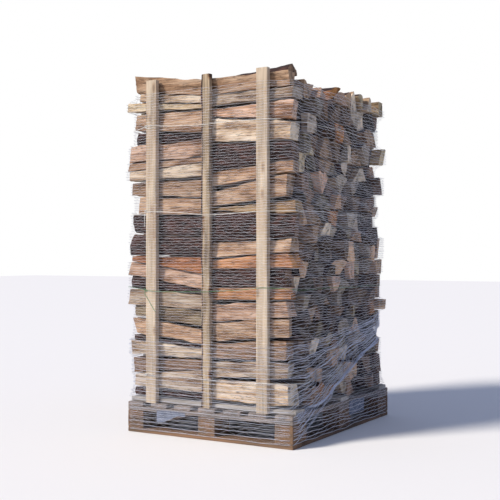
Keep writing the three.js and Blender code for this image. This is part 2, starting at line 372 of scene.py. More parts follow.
def log_part(inner, outer, bark_edge, x_inner, x_outer, wood, shade, random, fine):
    """One split log as a closed solid.

    Its section is the polygon inner at x_inner and outer at x_outer, blended between. Each edge has
    points that stop short of the corners. Bark edges bow outwards in an arc. Split edges carry long
    ridges: random heights round the section that change slowly along the log.
    """
    sides = len(inner)
    per_edge = 9 if fine else 5
    t = np.linspace(0, 1, per_edge + 2)[1:-1]
    t = 0.5 + (t - 0.5) * (0.93 / (t[-1] - t[0]))
    stations = 30 if fine else 9
    # A log inside the stack shows only its outer end, so its stations crowd there.
    crowded = np.array([0, 0.35, 0.6, 0.74, 0.84, 0.9, 0.95, 0.98, 1.0])
    run = np.linspace(0, 1, stations) if fine else crowded
    corners = inner[None] * (1 - run)[:, None, None] + outer[None] * run[:, None, None]
    after = np.roll(outer, -1, axis=0)
    size = np.sqrt(np.abs(0.5 * np.sum(outer[:, 0] * after[:, 1] - outer[:, 1] * after[:, 0])))
    # Logs less than 80 mm thick are less rough.
    rough = min(1.0, size / 0.08)
    if fine:
        wander = smooth_random(random, 7, sides * 2, stations) * 2.6
        wander = wander + smooth_random(random, 15, sides * 2, stations) * 1.2
        corners = corners + wander.reshape(stations, sides, 2) * rough * MM
    following = np.roll(corners, -1, axis=1)
    t_along = t[None, None, :, None]
    points = corners[:, :, None] * (1 - t_along) + following[:, :, None] * t_along
    edge = following - corners
    length = np.linalg.norm(edge, axis=-1, keepdims=True)
    normal = np.stack([edge[..., 1], -edge[..., 0]], -1) / np.maximum(length, 1e-6)
    normal = np.repeat(normal[:, :, None], per_edge, axis=2)
    is_bark = np.zeros((sides, per_edge), bool)
    if bark_edge is not None:
        is_bark[bark_edge] = True
        bow = 0.15 * length[:, bark_edge] * (1 - (2 * t - 1) ** 2)[None]
        points[:, bark_edge] += normal[:, bark_edge] * bow[..., None]
    points = points.reshape(stations, -1, 2)
    normal = normal.reshape(stations, -1, 2)
    bark = is_bark.ravel()
    count = points.shape[1]
    ridges = smooth_random(random, 4, count, stations) * 1.1 * MM * rough
    ridges += smooth_random(random, 2, count, stations) * 0.9 * MM * rough
    if fine:
        ridges += smooth_random(random, 12, count, stations) * 0.5 * MM * rough
        ridges[:, bark] += smooth_random(random, 16, int(bark.sum()), stations) * 1.3 * MM
    points = points + normal * (ridges - 1.0 * MM)[..., None]
    # The two sawn ends lean a little, and their faces are slightly uneven.
    lean = random.normal(0, 0.13, 2)
    middle = points.mean(1, keepdims=True)
    lean_by = ((points - middle) * lean).sum(-1) * run[:, None] ** 6
    x = x_inner + (x_outer - x_inner) * run[:, None] + lean_by
    rings = np.concatenate([x[..., None], points], -1)
    caps = []
    for ring, sign in ((rings[0], -1), (rings[-1], 1)):
        centre = ring.mean(0)
        outwards = sign * np.sign(x_outer - x_inner)
        shrunk = []
        for scale in (0.96, 0.55) if fine else (0.95,):
            inset = centre + (ring - centre) * scale
            inset[:, 0] += outwards * (0.6 + 0.5 * random.random(count)) * MM
            shrunk.append(inset)
        caps.append(shrunk)
    rings = np.stack([*caps[0][::-1], *rings, *caps[1]])
    if x_outer < x_inner:
        rings = rings[:, ::-1]
        bark = bark[::-1]
    vertices, quads, triangles = closed_tube(rings)
    rows = len(rings) - 1
    cap_rows = len(caps[0])
    slots = np.tile(np.where(bark & np.roll(bark, -1), 1, 0), (rows, 1))
    slots[:cap_rows] = slots[rows - cap_rows :] = 2
    # Rings of growth are centred away from the bark, or off to one side of a log without any.
    far = outer.mean(0) + (random.normal(0, 0.02, 2) if bark_edge is None else 0)
    if bark_edge is not None:
        bark_middle = (outer[bark_edge] + outer[(bark_edge + 1) % sides]) / 2
        far = outer.mean(0) + 1.1 * (outer.mean(0) - bark_middle)
    pith = np.array([random.random() * -7.0, *far])
    # The shade factor scales the whole log's colour; for logs inside the stack it is partly painted shade.
    tone = np.array(linear(WOODS[wood])) * (0.93 + 0.12 * random.normal()) * shade
    tone[3] = random.random()
    attributes = {"grain": vertices - pith, "tint": tone[None]}
    return (vertices, quads, triangles, slots.ravel(), np.full(len(triangles), 2), attributes)


def shrink(polygon, gap):
    """A polygon drawn in towards its middle by about a gap on every side."""
    middle = polygon.mean(0)
    arms = polygon - middle
    reach = np.linalg.norm(arms, axis=1, keepdims=True)
    return middle + arms * np.maximum(1 - 1.3 * gap / np.maximum(reach, 1e-6), 0.3)


def column_logs(heights, tops, y_face, faces_front, random):
    """A column of logs from the top down: corners at the inner and outer end, inset, wood and height.

    Each log is a four-sided section between two slanting boundaries. Its outward face leans, and its
    hidden face is nearer or further, so that no two are alike.
    """
    logs = []
    z_outer, z_inner = tops
    for outer_height, inner_height, inset, wood in heights:
        if wood != "gap":
            lean = random.uniform(-16, 16, 2) * MM
            if wood == "bark":
                lean = np.abs(lean) + 9 * MM
            depth = (COLUMN_DEPTH - random.uniform(2, 30) * MM) * random.uniform(0.8, 1.0, 2)
            ends = []
            for z, height in ((z_inner, inner_height), (z_outer, outer_height)):
                low = z - height * MM
                face = np.maximum(lean, 0) + random.uniform(0, 3) * MM
                away = np.array([face[0], depth[0], depth[1], face[1]])
                y = y_face + away if faces_front else y_face - away
                corners = np.stack([y, np.array([low, low, z, z])], -1)
                ends.append(corners if faces_front else corners[::-1])
            z_middle = (z_outer + z_inner) / 2 - (outer_height + inner_height) * MM / 4
            logs.append((*ends, inset, wood, z_middle))
        z_outer -= outer_height * MM
        z_inner -= inner_height * MM
    return logs


random = np.random.default_rng(2024)
tier_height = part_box("firewood_left_2")[0][2] - FLOOR
log_ends = []
tier_parts = {}
for side, sign in (("left", -1), ("right", 1)):
    middle_x = sign * 3 * MM
    outer_corner = 0 if sign < 0 else 1
    tier_reach = [abs(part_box(f"firewood_{side}_{t + 1}")[outer_corner][0]) for t in range(TIERS)]
    reach = max(tier_reach)
    phase = random.uniform(0, 2 * np.pi, 4)
    logs = []
    # Front and back columns.
    front_column = column_logs(FRONT_LOGS[side], FRONT_TOP[side], FRONT, True, random)
    back_heights = []
    back_mm = (BACK_TOP - FLOOR) / MM
    total = 0
    while total < back_mm - 60:
        height = float(random.choice([60, 75, 85, 95, 105, 120, 140]))
        wood = str(random.choice(SIDE_WOODS + ["bark", "bark", "bark"]))
        back_heights.append([height, height + random.uniform(-18, 18), random.uniform(5, 80), wood])
        total += height
    back_scale = back_mm / np.array([h[:2] for h in back_heights]).sum(0)
    back_heights = [(h[0] * back_scale[0], h[1] * back_scale[1], *h[2:]) for h in back_heights]
    back_column = column_logs(back_heights, (BACK_TOP, BACK_TOP), BACK, False, random)
    # Edge 3 is the outward face of a front log. Edge 0 is the top of a back log, so its bark is hidden.
    for column, barky_edge in ((front_column, 3), (back_column, 0)):
        for inner, outer, inset, wood, z in column:
            bark_edge = barky_edge if wood == "bark" else None
            logs.append((inner, outer, bark_edge, inset, wood, z, True))
    if side == "right":
        crest = np.array([[8.0, -16.0], [118, -18], [112, 12], [62, 40], [8, -2]]) * MM
        crest = crest + np.array([FRONT + 10 * MM, FRONT_TOP["right"][0]])
        logs.append((crest - [0, 34 * MM], crest, 3, 60, "brown", crest[0, 1] - 20 * MM, True))
    # Courses between the columns, cut into wedges that point up and down by turns.
    spacing = random.uniform(0.75, 1.25, COURSES)
    levels = FLOOR + np.concatenate([[0], np.cumsum(spacing)]) / spacing.sum() * (MIDDLE_TOP - FLOOR)
    y0, y1 = FRONT + COLUMN_DEPTH, BACK - COLUMN_DEPTH
    waves = random.uniform(0, 2 * np.pi, (COURSES + 1, 2))

    def level(k, y):
        """Height of the boundary under course k at y: its level plus two waves, flat at the bottom."""
        swing = 0 if k == 0 else 9 * MM
        return levels[k] + swing * (np.sin(7 * y + waves[k, 0]) + 0.7 * np.sin(17 * y + waves[k, 1]))

    for course in range(COURSES):
        widths = random.uniform(58, 118, 16) * MM
        cuts = y0 + np.concatenate([[0], np.cumsum(widths)])
        cuts = cuts[cuts < y1 - 60 * MM]
        cuts = np.append(cuts, y1)
        slant = np.where(np.arange(len(cuts)) % 2 == 0, 1, -1) * random.uniform(0.05, 0.44, len(cuts))
        slant *= np.minimum(np.gradient(cuts), 0.11)
        slant[0] = slant[-1] = 0
        slant *= random.choice([-1, 1])
        for i in range(len(cuts) - 1):
            low_y = np.array([cuts[i] - slant[i], cuts[i + 1] - slant[i + 1]])
            high_y = np.array([cuts[i] + slant[i], cuts[i + 1] + slant[i + 1]])
            if low_y[1] - low_y[0] < 8 * MM or high_y[1] - high_y[0] < 8 * MM:
                continue
            bounds = [(0, low_y[0]), (0, low_y[1]), (1, high_y[1]), (1, high_y[0])]
            section = np.array([[y, level(course + up, y)] for up, y in bounds])
            is_top = course == COURSES - 1
            if is_top:
                section[2:, 1] += random.uniform(-22, 12, 2) * MM
                narrower = np.array([-1, 1]) * random.uniform(0.02, 0.36, 2)
                section[2:, 0] += narrower * (high_y[1] - high_y[0])
            drifted = section + drift(section, phase)
            drifted[section[:, 1] < FLOOR + 1 * MM, 1] = FLOOR
            inner = section - 0.3 * drift(section, phase)
            inner[section[:, 1] < FLOOR + 1 * MM, 1] = FLOOR
            bark_edge = int(random.integers(0, 4)) if random.random() < 0.6 else None
            if is_top and random.random() < 0.5:
                bark_edge = 2
            wood = str(random.choice(SIDE_WOODS))
            inset = random.triangular(2, 22, 105)
            logs.append((inner, drifted, bark_edge, inset, wood, section[:, 1].mean(), is_top))
    for inner, outer, bark_edge, inset, wood, z, fine in logs:
        gap = random.uniform(1.2, 4.2 if fine else 7.5) * MM
        # Logs inside the stack get a random darkness: partly weathered greys, and partly painted shade, the
        # darkest ones standing in for set-back ends in shade; the front ones stay fresher.
        shade = 1.0 if fine else float(random.choice([0.16, 0.42, 0.85, 1.5], p=[0.34, 0.26, 0.22, 0.18]))
        inner, outer = shrink(inner, gap), shrink(outer, gap)
        tier = int(np.clip((z - FLOOR) / tier_height, 0, TIERS - 1))
        x_outer = sign * min(reach - inset * MM, tier_reach[tier] - 1.5 * MM)
        x_inner = middle_x + sign * random.uniform(0, 12) * MM
        part = log_part(inner, outer, bark_edge, x_inner, x_outer, wood, shade, random, fine)
        tier_parts.setdefault((side, tier), []).append(part)
        tip = part[0][np.abs(part[0][:, 0]) > abs(x_outer) - 30 * MM]
        log_ends.append((sign, np.abs(tip[:, 0]).max(), *tip[:, 1:].min(0), *tip[:, 1:].max(0)))
log_ends = np.array(log_ends)


def split_hardwood():
    """Split beech: torn fibres along the log, light and dark streaks, and a satin of fine ridges."""
    material, tree, shader = new_material("split_beech")
    grain, tint = grain_and_tint(tree)
    # Fibre bundles of 2 mm drawn at 6 mm, and streaks of 25 mm, both many times longer than wide.
    fibres = drawn_out(tree, grain, (7.0, 165.0, 165.0), 5.0, 0.65)
    streaks = drawn_out(tree, grain, (3.0, 42.0, 42.0), 3.0)
    # Brown heartwood and weather stains, a hand long.
    stains = drawn_out(tree, grain, (5.0, 17.0, 17.0), 5.0, 0.6, (5.0, 2.0, 1.0))
    # Drying cracks and torn edges: dark lines where a long pattern passes its middle value.
    cracks = drawn_out(tree, grain, (4.5, 48.0, 48.0), 6.0, 0.6, (3.0, 1.0, 7.0))
    crack_stops = [(0.474, grey(1.0)), (0.497, grey(0.34)), (0.503, grey(0.34)), (0.526, grey(1.0))]
    layers = [
        (fibres, [(0.28, grey(0.5)), (0.48, grey(0.9)), (0.75, grey(1.15))], 1.0),
        (streaks, [(0.34, linear("AE9276")), (0.5, linear("F2E6DA")), (0.72, linear("FFFFFF"))], 0.8),
        (stains, [(0.34, linear("8A7460")), (0.46, linear("DCD0C2")), (0.56, linear("FFFFFF"))], 0.9),
        (cracks, crack_stops, 0.95),
    ]
    finish(tree, shader, layered(tree, tint, layers), 0.78, fibres, 1.0, 4.0)
    return material


def hardwood_bark():
    """Beech and oak bark: dark, matt and furrowed along the log, with browner scales."""
    material, tree, shader = new_material("hardwood_bark")
    grain, _ = grain_and_tint(tree)
    # Furrows 16 mm apart and a hand long.
    furrows = drawn_out(tree, grain, (14.0, 62.0, 62.0), 6.0, 0.68)
    patches = drawn_out(tree, grain, (6.0, 14.0, 14.0), 3.0)
    bark_stops = [(0.32, "08080E"), (0.5, "2A1815"), (0.62, "4C2F28"), (0.78, "7A5C50")]
    stops = [(place, linear(shade)) for place, shade in bark_stops]
    colour = add_node(tree, "ShaderNodeValToRGB", {"Fac": furrows}, stops=stops).outputs["Color"]
    stops = [(0.5, grey(0.0)), (0.75, grey(0.6))]
    share = add_node(tree, "ShaderNodeValToRGB", {"Fac": patches}, stops=stops).outputs["Color"]
    links = {"Fac": share, "Color1": colour}
    scaly = add_node(tree, "ShaderNodeMixRGB", links, {"Color2": linear("4E2A22")})
    finish(tree, shader, scaly.outputs["Color"], 0.92, furrows, 1.0, 5.0)
    return material


def sawn_end_grain():
    """A chain-sawn log end: growth rings about the pith, dark stains, and a duller, darker tone that is
    partly painted shade.
    """
    material, tree, shader = new_material("sawn_end_grain")
    grain, tint = grain_and_tint(tree)
    flat = add_node(tree, "ShaderNodeMapping", {"Vector": grain}, {"Scale": (0.0, 1.0, 1.0)})
    flat_grain = {0: flat.outputs["Vector"]}
    radius = add_node(tree, "ShaderNodeVectorMath", flat_grain, operation="LENGTH").outputs["Value"]
    wander = drawn_out(tree, grain, (1.0, 30.0, 30.0), 4.0)
    # Rings 2.5 mm apart drawn at 7 mm.
    turns = add_node(tree, "ShaderNodeMath", {0: radius}, {1: 2 * np.pi / (7 * MM)}, operation="MULTIPLY")
    links = {0: wander, 2: turns.outputs["Value"]}
    bent = add_node(tree, "ShaderNodeMath", links, {1: 9.0}, operation="MULTIPLY_ADD").outputs["Value"]
    wave = add_node(tree, "ShaderNodeMath", {0: bent}, operation="SINE").outputs["Value"]
    rings = add_node(tree, "ShaderNodeMath", {0: wave}, {1: 0.5, 2: 0.5}, operation="MULTIPLY_ADD")
    # Painted shade: the end grain's value is lowered everywhere, partly its own duller tone and partly the
    # shade on the end faces of the load's shaded right side.
    dulled_with_painted_shade = add_node(tree, "ShaderNodeHueSaturation", {"Color": tint}, {"Saturation": 1.15, "Value": 0.72})
    layers = [
        (rings.outputs["Value"], [(0.0, grey(0.82)), (1.0, grey(1.04))], 1.0),
        (wander, [(0.34, grey(0.35)), (0.47, grey(0.85)), (0.6, grey(1.15))], 1.0),
    ]
    finish(tree, shader, layered(tree, dulled_with_painted_shade.outputs["Color"], layers), 0.88, wander, 0.5, 1.5)
    return material


LOG_MATERIALS = [split_hardwood(), hardwood_bark(), sawn_end_grain()]
for (side, tier), parts in sorted(tier_parts.items()):
    node_name = f"firewood_{side}_{tier + 1}"
    piece = mesh_object(f"logs_{side}_{tier + 1}", parts, LOG_MATERIALS)
    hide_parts(node_name)
    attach(piece, "root")

# ------------------------------------------------------------
# Slats. Fresh-sawn spruce battens that stand on the deck's edges against the logs.
# ------------------------------------------------------------
slat_wood = sawn_softwood("fresh_spruce", "C4B49E", "A8947E", streak_mm=12.0, knotty=0.5)
old_slat_wood = sawn_softwood("stained_spruce", "B4A084", "5A4A3A", streak_mm=10.0, knotty=0.9)
for face in ("front", "back"):
    for i in (1, 2, 3):
        node_name = f"slat_{face}_{i}"
        # The middle slat of each face has lost a corner to bark.
        if i == 2:
            materials = [old_slat_wood, LOG_MATERIALS[1]]
            piece = sawn_piece(node_name, materials, random, tone=0.03, wane=13 * MM)
        else:
            piece = sawn_piece(node_name, [slat_wood], random, tone=0.03)
        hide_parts(node_name)
        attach(piece, "root")

# ------------------------------------------------------------
# Net. A knitted polyethylene pallet net, wound round the load by machine. Stout pillar yarns run
# round it 14 mm apart, with finer laid-in yarns zigzagging between them, stretched from tip to tip.
# ------------------------------------------------------------
wrap_y = np.linspace(-0.56, 0.56, 57)
wrap_z = np.arange(0.0, 1.92, 0.01)
PALLET_HALF = np.array([500.0, 600.0]) * MM
# How far the net lies off what it touches, and how far from the middle it turns the load's corners.
NET_OFF = 2 * MM
CORNER_OUT = 578 * MM
# From the pallet's edge to the logs' tips within 80 mm above the deck, by a smooth step.
above_deck = np.clip((wrap_z - 0.165) / 0.08, 0, 1)
above_deck = above_deck**2 * (3 - 2 * above_deck)


def wrap_reach(sign):
    """How far out the net lies on one side, on a grid of y and z.

    The furthest log end within 70 mm along y (15 mm near a corner) and 5 mm up or down, smoothed by
    repeated 1-2-1 means but never inside a log end it touches, and unsmoothed at the corners, plus
    the net's own thickness. Below the deck it closes in on the pallet's edge.
    """
    ends = log_ends[log_ends[:, 0] == sign]
    span = np.where(np.abs(wrap_y) > 0.48, 0.015, 0.07)[:, None]
    near_y = (wrap_y[:, None] > ends[:, 2] - span) & (wrap_y[:, None] < ends[:, 4] + span)
    near_z = (wrap_z[:, None] > ends[:, 3] - 0.005) & (wrap_z[:, None] < ends[:, 5] + 0.005)
    reach = np.where(near_y[:, None] & near_z[None], ends[:, 1], 0.3).max(-1)
    over_y = (wrap_y[:, None] > ends[:, 2] - 0.014) & (wrap_y[:, None] < ends[:, 4] + 0.014)
    touching = np.where(over_y[:, None] & near_z[None], ends[:, 1], 0.3).max(-1)
    settled = wrap_z < 1.79
    reach[:, ~settled] = reach[:, settled][:, -1:]
    touching[:, ~settled] = touching[:, settled][:, -1:]
    for turn in range(6):
        reach[1:-1] = (reach[:-2] + 2 * reach[1:-1] + reach[2:]) / 4
        if turn == 0:
            reach[:, 1:-1] = (reach[:, :-2] + 2 * reach[:, 1:-1] + reach[:, 2:]) / 4
    reach = np.where(np.abs(wrap_y[:, None]) > 0.5, touching, np.maximum(reach, touching))
    return (PALLET_HALF[0] + NET_OFF) * (1 - above_deck) + (reach + NET_OFF) * above_deck


slat_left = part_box("slat_front_1")[0][0] - NET_OFF
slat_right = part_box("slat_front_3")[1][0] + NET_OFF
front_x = np.linspace(slat_left, slat_right, 10)
corner_y = (PALLET_HALF[1] + NET_OFF) * (1 - above_deck) + CORNER_OUT * above_deck
slat_y = np.full((10, len(wrap_z)), PALLET_HALF[1] + 2.2 * MM)
reach_right, reach_left = wrap_reach(1), wrap_reach(-1)
side_y = np.broadcast_to(wrap_y[:, None], reach_right.shape)
across_x = np.broadcast_to(front_x[:, None], slat_y.shape)
wrap = np.concatenate(
    [
        np.stack([across_x, -slat_y], -1),
        np.stack([reach_right[:1] - 3 * MM, -corner_y[None]], -1),
        np.stack([reach_right, side_y], -1),
        np.stack([reach_right[-1:] - 3 * MM, corner_y[None]], -1),
        np.stack([across_x[::-1], slat_y], -1),
        np.stack([-reach_left[-1:] + 3 * MM, corner_y[None]], -1),
        np.stack([-reach_left[::-1], side_y[::-1]], -1),
        np.stack([-reach_left[:1] + 3 * MM, -corner_y[None]], -1),
        np.stack([across_x[:1], -slat_y[:1]], -1),
    ]
)
mean_wrap = wrap.mean(1)
wrap_steps = np.linalg.norm(np.diff(mean_wrap, axis=0), axis=1)
wrap_along = np.concatenate([[0], np.cumsum(wrap_steps)])
LOOP = wrap_along[-1]
step = np.roll(mean_wrap[:-1], -1, axis=0) - np.roll(mean_wrap[:-1], 1, axis=0)
outward = np.stack([step[:, 1], -step[:, 0]], -1) / np.linalg.norm(step, axis=1, keepdims=True)
outward = np.concatenate([outward, outward[:1]])
# Stations of the wrap's corners, and the distances round the load where the right side begins and ends.
front_last, front_corner = len(front_x) - 1, len(front_x)
right_first = front_corner + 1
back_corner = right_first + len(wrap_y)
left_corner = back_corner + len(front_x) + 1
right_start, right_end = wrap_along[right_first], wrap_along[back_corner - 1]


def on_wrap(along, z, lift):
    """Points of the net's surface: bilinear between stations and levels, moved out by lift."""
    place = np.interp(along % LOOP, wrap_along, np.arange(len(wrap_along)))
    i = np.minimum(place.astype(int), len(wrap_along) - 2)
    row = np.clip(z / wrap_z[1], 0, len(wrap_z) - 1.001)
    j = row.astype(int)
    a, b = (place - i)[..., None], (row - j)[..., None]
    low = wrap[i, j] * (1 - a) + wrap[i + 1, j] * a
    high = wrap[i, j + 1] * (1 - a) + wrap[i + 1, j + 1] * a
    out = outward[i] * (1 - a) + outward[i + 1] * a
    plan = low * (1 - b) + high * b + out * np.asarray(lift)[..., None]
    return np.concatenate([plan, np.broadcast_to(z, along.shape)[..., None]], -1)


def slack(along, z):
    """How far a yarn strays up or down from its level.

    Slow waves round the load and up it bunch the yarns. Over the right side the turns three quarters
    of the way up also slide down by up to 70 mm, and rise again across the back.
    """
    turn = 2 * np.pi * along / LOOP
    stray = 3.4 * np.sin(5 * turn + 61 * z) + 2.6 * np.sin(11 * turn - 37 * z + 1.3)
    stray += 2.2 * np.sin(23 * turn + 97 * z + 4.0) + 3.0 * np.sin(3 * turn + 23 * z + 2.1)
    # Over the slats the net is drawn straight.
    taut = np.clip(np.abs((along + LOOP / 4 - 0.2) % (LOOP / 2) - LOOP / 4) / 0.5 - 0.4, 0.25, 1.0)
    slide_at = [right_start, right_start + 0.55, right_end + 0.2, right_end + 1.1]
    slid = np.interp(along % LOOP, slide_at, [0, 1, 1, 0])
    return (stray * taut - 70 * slid * np.exp(-(((z - 1.42) / 0.28) ** 2))) * MM


def yarn_circles(paths, closed, sides):
    """A unit circle of a few sides across each point of each path, and the angles of its corners.

    One axis of the circle is level. The other is the path's direction crossed with it.
    """
    if closed:
        direction = np.roll(paths, -1, axis=-2) - np.roll(paths, 1, axis=-2)
    else:
        direction = np.gradient(paths, axis=-2)
    direction /= np.linalg.norm(direction, axis=-1, keepdims=True)
    level = np.cross(np.broadcast_to((0.0, 0.0, 1.0), direction.shape), direction)
    level /= np.maximum(np.linalg.norm(level, axis=-1, keepdims=True), 1e-9)
    upright = np.cross(direction, level)
    angle = np.arange(sides) * 2 * np.pi / sides
    across, up = np.cos(angle)[:, None], np.sin(angle)[:, None]
    return level[..., None, :] * across + upright[..., None, :] * up, angle


def yarn_loops(paths, radius, sides, shades):
    """Closed tubes along closed paths (lines, points, 3): a circle of a few sides carried round each.

    The radius is one number, one for each point along the paths, or one for each point of each path.
    """
    lines, points = paths.shape[:2]
    circle, angle = yarn_circles(paths, True, sides)
    radii = np.broadcast_to(radius, (lines, points))[:, :, None, None]
    vertices = (paths[:, :, None] + radii * circle).reshape(-1, 3)
    line, i, j = np.meshgrid(np.arange(lines), np.arange(points), np.arange(sides), indexing="ij")
    i_next, j_next = (i + 1) % points, (j + 1) % sides
    base = line * points * sides
    here, there = base + i * sides, base + i_next * sides
    quads = np.stack([here + j, here + j_next, there + j_next, there + j], -1).reshape(-1, 4)
    steps = np.linalg.norm(np.diff(paths, axis=1, prepend=paths[:, :1]), axis=-1)
    run = np.broadcast_to(np.cumsum(steps, axis=1)[:, :, None], (lines, points, sides))
    turn = np.broadcast_to(angle, (lines, points, sides))
    which = np.broadcast_to(np.arange(lines)[:, None, None] * 0.137, (lines, points, sides))
    grain = np.stack([run, turn, which], -1).reshape(-1, 3)
    tint = np.repeat(np.asarray(shades), points * sides)[:, None] * np.array([[1.0, 1.0, 1.0, 0.0]])
    tint[:, 3] = 1
    attributes = {"grain": grain, "tint": tint}
    return vertices, quads, np.zeros((0, 3), int), np.zeros(len(quads)), np.zeros(0), attributes


def yarn_run(path, radius, sides, shade):
    """A closed tube along an open path, whose radius narrows to a point at both ends."""
    circle, angle = yarn_circles(path, False, sides)
    from_end = np.minimum(np.arange(len(path)), np.arange(len(path))[::-1])
    taper = radius * np.minimum(1, np.sqrt(0.1 + from_end))
    vertices, quads, triangles = closed_tube(path[:, None] + taper[:, None, None] * circle)
    run = np.concatenate([[0], np.cumsum(np.linalg.norm(np.diff(path, axis=0), axis=1))])
    which = np.full(len(path) * sides, shade)
    grain = np.stack([np.repeat(run, sides), np.tile(angle, len(path)), which], -1)
    attributes = {"grain": np.concatenate([grain, grain[[0, -1]]]), "tint": np.array([grey(shade)])}
    return vertices, quads, triangles, np.zeros(len(quads)), np.zeros(len(triangles)), attributes


def twisted_plastic(name, colour, lay_mm, roughness, sheen):
    """Polyethylene or polypropylene yarn: twisted filaments that catch the light in slanting glints."""
    material, tree, shader = new_material(name)
    grain, tint = grain_and_tint(tree)
    apart = add_node(tree, "ShaderNodeSeparateXYZ", {"Vector": grain})
    # The twist turns once round the yarn in each lay: run / lay + turn.
    links = {0: apart.outputs["X"], 2: apart.outputs["Y"]}
    values = {1: 2 * np.pi / (lay_mm * MM)}
    turns = add_node(tree, "ShaderNodeMath", links, values, operation="MULTIPLY_ADD").outputs["Value"]
    strands = add_node(tree, "ShaderNodeMath", {0: turns}, operation="SINE").outputs["Value"]
    # Painted highlights and shade: slanting glints brighten and darken the yarn's colour, rather than
    # coming from the light.
    glints = drawn_out(tree, grain, (28.0, 0.3, 50.0), 3.0)
    glint_stops = [(0.3, grey(0.62)), (0.55, grey(0.95)), (0.7, grey(1.1))]
    lit = layered(tree, tint, [(glints, glint_stops, 1.0)])
    values = {"Fac": 1.0, "Color2": linear(colour)}
    coloured = add_node(tree, "ShaderNodeMixRGB", {"Color1": lit}, values, blend_type="MULTIPLY")
    shader.inputs["Sheen Weight"].default_value = sheen
    finish(tree, shader, coloured.outputs["Color"], roughness, strands, 0.5, 0.4)
    return material


random = np.random.default_rng(77)
# The filaments' lay of 3 mm is drawn at 8 mm, and the relaxed yarns are 2 mm thick, or 3.4 mm beside
# the pallet, instead of about 1, so that they show.
net_yarn = twisted_plastic("knitted_polyethylene", "E6E9F4", 8.0, 0.42, 0.2)
PITCH = 14 * MM
NET_LOWEST = 6 * MM
# Below this height the turns go round the pallet: they lie further apart and are stouter.
PALLET_TURNS = 130 * MM
on_pallet = np.arange(22 * MM, PALLET_TURNS, 1.4 * PITCH)
levels = np.concatenate([on_pallet, np.arange(136 * MM, 1815 * MM, PITCH)])
around = np.linspace(0, LOOP, 168, endpoint=False)
wobble = np.stack([smooth_random(random, 30, 1, len(around))[:, 0] for _ in levels]) * 0.8 * MM
wobble *= np.minimum(1, np.minimum(np.arange(len(around)), np.arange(len(around))[::-1]) / 6)
pillar_z = np.maximum(levels[:, None] + slack(around, levels[:, None]) + wobble, NET_LOWEST)
along = np.broadcast_to(around, pillar_z.shape)
# Across the front and back the yarns are stretched thin; over the log ends they relax and fluff up.
relaxed = np.interp(around, wrap_along, np.abs(outward[:, 0])) ** 2
low_down = 1 + 0.7 * relaxed * (levels[:, None] < PALLET_TURNS)
pillar_radius = (0.5 + 0.5 * relaxed) * low_down * MM
pillar_paths = on_wrap(along, pillar_z, 0.0)
pillars = yarn_loops(pillar_paths, pillar_radius, 3, random.uniform(0.75, 1.0, len(levels)))
zigzags = 82
laid_along = (np.arange(zigzags) * LOOP / zigzags)[None] + random.uniform(0, 0.05, (len(levels) - 1, 1))
up = (np.arange(zigzags) % 2)[None]
laid_level = levels[:-1, None] + up * np.diff(levels)[:, None]
laid_z = np.maximum(laid_level + slack(laid_along, laid_level), NET_LOWEST)
laid_relaxed = np.interp(np.arange(zigzags) * LOOP / zigzags, wrap_along, np.abs(outward[:, 0])) ** 2
laid_radius = (0.3 + 0.26 * laid_relaxed) * MM
laid_paths = on_wrap(laid_along, laid_z, 0.4 * MM)
laid = yarn_loops(laid_paths, laid_radius, 3, random.uniform(0.7, 1.0, len(laid_z)))
for name, part in (("net_pillar_yarns", pillars), ("net_laid_in_yarns", laid)):
    piece = mesh_object(name, [part], [net_yarn], 180.0)
    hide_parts("net")
    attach(piece, "root")

# The last turn of the net goes round the foot of the load, then climbs over the right side as a
# fan, its lower edge gathered into a rope. Metres along Y and up, from the front to the back.
ROPE_Y = np.array([-560, -415, -208, -87, 66, 227, 420, 585]) * MM
ROPE_Z = np.array([150, 180, 205, 270, 334, 384, 445, 500]) * MM
fan = np.linspace(0, 1, 22)[:, None]
low_level = (20 + 470 * fan) * MM
right_y = np.interp(around, [right_start, right_end], [wrap_y[0], wrap_y[-1]])
fan_low = np.interp(right_y, [-0.56, -0.2, 0.1, 0.56], [0.03, 0.19, 0.33, 0.49])
fan_top = np.interp(right_y, [-0.56, 0.0, 0.56], [0.49, 0.55, 0.62])
wander = np.stack([smooth_random(random, 18, 1, len(around))[:, 0] for _ in fan]) * 6 * MM
climb = fan_low + fan * (fan_top - fan_low) + wander
climb_end = climb[:, np.searchsorted(around, right_end)][:, None]
back_at, left_at, front_at = wrap_along[[back_corner, left_corner, front_last]]
home = np.clip((around - back_at) / (left_at - back_at), 0, 1)
start = np.clip((around - front_at) / (right_start - front_at), 0, 1)
last_z = np.where(around < right_start, low_level * (1 - start) + climb[:, :1] * start, climb)
last_z = np.where(around > right_end, climb_end * (1 - home) + low_level * home, last_z)
last_z = np.maximum(last_z + 0.8 * slack(around, 0.7 * last_z + 0.4), NET_LOWEST)
along = np.broadcast_to(around, last_z.shape)
last_paths = on_wrap(along, last_z, 2.4 * MM)
last_radius = (0.7 + 0.85 * relaxed) * MM
last_turn = yarn_loops(last_paths, last_radius, 3, random.uniform(0.8, 1.0, len(last_z)))
laid_along = (np.arange(zigzags) * LOOP / zigzags)[None] + random.uniform(0, 0.05, (len(last_z) - 1, 1))
row = np.arange(len(last_z) - 1)[:, None] + up
column = np.round(laid_along / LOOP * len(around)).astype(int) % len(around)
laid_z = last_z[row, column]
laid_paths = on_wrap(laid_along, laid_z, 2.8 * MM)
laid = yarn_loops(laid_paths, 0.7 * laid_radius, 3, random.uniform(0.7, 1.0, len(laid_z)))
# Painted light: the last turn and its rope get a bluer copy of the net yarn, standing in for the cool sky
# light of the shade on the load's right side.
gathered = twisted_plastic("bluer_polyethylene_painted_sky_light", "DCE6FF", 14.0, 0.4, 0.3)
piece = mesh_object("net_last_turn", [last_turn, laid], [gathered], 180.0)
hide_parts("net")
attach(piece, "root")

